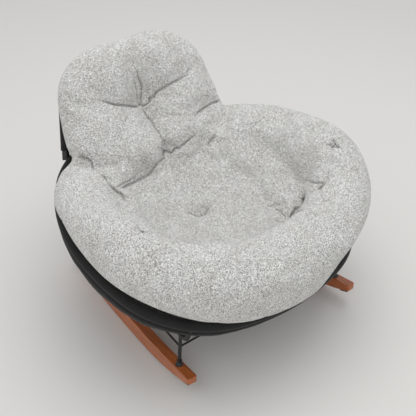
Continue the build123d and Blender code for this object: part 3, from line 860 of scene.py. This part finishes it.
# cloth map in metres: across the seat, and from front to rear with the height added
coverMap = seatCover.data.uv_layers.new(name="cloth")
for loop in seatCover.data.loops:
    local = np.array(seatCover.data.vertices[loop.vertex_index].co) - seat["origin"]
    coverMap.data[loop.index].uv = (local @ acrossSeat, local @ seatRear + (local @ seatUp))
applyModifier(seatCover, "SOLIDIFY", thickness=coverPlan["thickness"], offset=-1)
bpy.ops.object.shade_smooth()
seatCover.data.materials.append(canvas)
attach(seatCover, "frame")
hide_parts("seat_cover")


# back sleeve: a black pillowcase pulled over the arch, open along its lower edge

sleevePlan = {
    "foot": (0.261, -0.012),   # the arch's centre line, across and up the back
    "top": (0.196, 0.205),
    "bend": 0.095,
    "tube": 0.0142,            # radius round the arch's centre line
    "bottom": 0.020,           # lower edge
    "dip": 0.006,              # the panels hang a little slack between the tubes
    "dipSoon": 1.3,
    "crown": 0.4,              # how much lower than the edge the panel's middle line stays
    "hem": 0.014,
    "hemThick": 0.0009,
    "thickness": 0.0016,
    "legSteps": (0, 0.05, 0.10, 0.13, 0.16, 0.25, 0.4, 0.6, 0.8),
    "bendSteps": 14,
    "topSteps": 12,
    "panelSteps": 10,
    "wraps": (60, 30, 10),     # degrees round the tube
}
print("back sleeve start")


def roundCorner(before, corner, after, radius, steps):  # points on the arc that rounds a corner
    u = (before - corner) / np.linalg.norm(before - corner)
    v = (after - corner) / np.linalg.norm(after - corner)
    half = math.acos(u @ v) / 2
    middle = corner + (u + v) / np.linalg.norm(u + v) * radius / math.sin(half)
    start = corner + u * radius / math.tan(half) - middle
    stop = corner + v * radius / math.tan(half) - middle
    sweep = math.pi - 2 * half
    turns = np.linspace(0, 1, steps + 1)
    return [middle + (start * math.sin((1 - t) * sweep) + stop * math.sin(t * sweep)) / math.sin(sweep)
            for t in turns]


grow = sleevePlan["tube"]
slope = (sleevePlan["foot"][0] - sleevePlan["top"][0]) / (sleevePlan["top"][1] - sleevePlan["foot"][1])
sideX = sleevePlan["top"][0] + grow * math.sqrt(1 + slope**2)
highX = sideX - slope * grow
lowX = sideX + slope * (sleevePlan["top"][1] - sleevePlan["bottom"])
high = sleevePlan["top"][1] + grow
low = sleevePlan["bottom"]
rightLow = np.array((lowX, low))
rightHigh = np.array((highX, high))
leftHigh = np.array((-highX, high))
leftLow = np.array((-lowX, low))
radius = sleevePlan["bend"] + grow
rightArc = roundCorner(rightLow, rightHigh, leftHigh, radius, sleevePlan["bendSteps"])
leftArc = roundCorner(rightHigh, leftHigh, leftLow, radius, sleevePlan["bendSteps"])
legSteps = sleevePlan["legSteps"]
topSteps = np.linspace(0, 1, sleevePlan["topSteps"] + 1)[1:-1]
outline = [rightLow + (rightArc[0] - rightLow) * t for t in legSteps] + rightArc
outline += [rightArc[-1] + (leftArc[0] - rightArc[-1]) * t for t in topSteps]
outline += leftArc + [leftArc[-1] + (leftLow - leftArc[-1]) * (1 - t) for t in reversed(legSteps)]
outline = np.array(outline)
ahead = np.gradient(outline, axis=0)
ahead /= np.linalg.norm(ahead, axis=1)[:, None]
inward = np.column_stack((-ahead[:, 1], ahead[:, 0]))
rise = outline[:, 1] - low
middleRise = rise * (1 - sleevePlan["crown"] * (rise / rise.max())**2)
middleLine = np.column_stack((np.zeros(len(outline)), low + middleRise))

sleeveRows = []  # rows of points from the middle of the rear panel round the edge to the front panel
panelSteps = np.linspace(1, 0, sleevePlan["panelSteps"] + 1)
for face in (-1, 1):
    rows = []
    edge = outline + inward * grow
    for t in panelSteps:
        flat = edge * (1 - t) + middleLine * t
        dip = sleevePlan["dip"] * math.sin(0.5 * math.pi * min(1, sleevePlan["dipSoon"] * t))
        rows.append((flat, face * (grow - dip)))
    for wrap in sleevePlan["wraps"]:
        turn = math.radians(wrap)
        rows.append((outline + inward * grow * (1 - math.cos(turn)), face * grow * math.sin(turn)))
    if face < 0:
        rows.append((outline, 0.0))
        sleeveRows.extend(rows)
    else:
        sleeveRows.extend(reversed(rows))
sleevePoints = []
for flat, depth in sleeveRows:
    for x, y in flat:
        hem = sleevePlan["hemThick"] if y - low < sleevePlan["hem"] else 0.0
        out = depth + math.copysign(hem, depth) if depth else 0.0
        sleevePoints.append(tuple(back["origin"] + x * acrossSeat + y * backRise + out * backFront))
width = len(outline)
sleeveFaces = []
for row in range(len(sleeveRows) - 1):
    for step in range(width - 1):
        corner = row * width + step
        sleeveFaces.append((corner, corner + 1, corner + width + 1, corner + width))
backSleeve = meshPiece("backSleeve", sleevePoints, sleeveFaces)
sleeveMap = backSleeve.data.uv_layers.new(name="cloth")  # in metres: across and up the back
for loop in backSleeve.data.loops:
    local = np.array(backSleeve.data.vertices[loop.vertex_index].co) - back["origin"]
    sleeveMap.data[loop.index].uv = (local @ acrossSeat, local @ backRise)
applyModifier(backSleeve, "SOLIDIFY", thickness=sleevePlan["thickness"], offset=-1)
bpy.ops.object.shade_smooth()
backSleeve.data.materials.append(canvas)
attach(backSleeve, "frame")
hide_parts("back_sleeve")


# stage: pale floor, soft light, camera at the photograph's angle

stagePlan = {
    "floorSize": 14,
    "worldColour": "#f4f5f7",
    "worldStrength": 0.78,
    "lights": (  # name, place, target, size, power
        ("key", (0.4, 0.2, 3.0), (0, 0, 0.4), 2.6, 30),
        ("fill", (-1.9, -1.6, 2.1), (0, 0, 0.4), 2.6, 13),
    ),
    "eye": (-1.099, -1.440, 1.575),
    "tilt": 54.8,
    "turn": -37.9,
    "lens": 64.04,
    "sensor": 36,
    "farClip": 50,
}
print("stage start")
stone = newMaterial("pale studio floor")
stoneShader = addNode(stone, "ShaderNodeBsdfPrincipled", {},
                      {"Base Color": toLinear("#dedcd8"), "Roughness": 0.7})
addNode(stone, "ShaderNodeOutputMaterial", {}, {}, {"Surface": stoneShader.outputs["BSDF"]})
bpy.ops.object.select_all(action="DESELECT")
bpy.ops.mesh.primitive_plane_add(size=stagePlan["floorSize"], location=(0, 0, 0))
floor = bpy.context.object
floor.name = "floor"
floor.data.materials.append(stone)

world = bpy.data.worlds.new("studio")
bpy.context.scene.world = world
world.use_nodes = True
sky = world.node_tree.nodes["Background"]
sky.inputs["Color"].default_value = toLinear(stagePlan["worldColour"])
sky.inputs["Strength"].default_value = stagePlan["worldStrength"]
for name, place, target, size, power in stagePlan["lights"]:
    lamp = bpy.data.objects.new(name, bpy.data.lights.new(name, "AREA"))
    lamp.data.size = size
    lamp.data.energy = power
    lamp.location = place
    lamp.rotation_euler = (Vector(target) - Vector(place)).to_track_quat("-Z", "Y").to_euler()
    bpy.context.scene.collection.objects.link(lamp)

camera = bpy.data.objects.new("camera", bpy.data.cameras.new("camera"))
bpy.context.scene.collection.objects.link(camera)
camera.location = stagePlan["eye"]
camera.rotation_euler = (math.radians(stagePlan["tilt"]), 0, math.radians(stagePlan["turn"]))
camera.data.lens = stagePlan["lens"]
camera.data.sensor_width = stagePlan["sensor"]
camera.data.clip_end = stagePlan["farClip"]
bpy.context.scene.camera = camera
bpy.context.scene.view_settings.view_transform = "Standard"
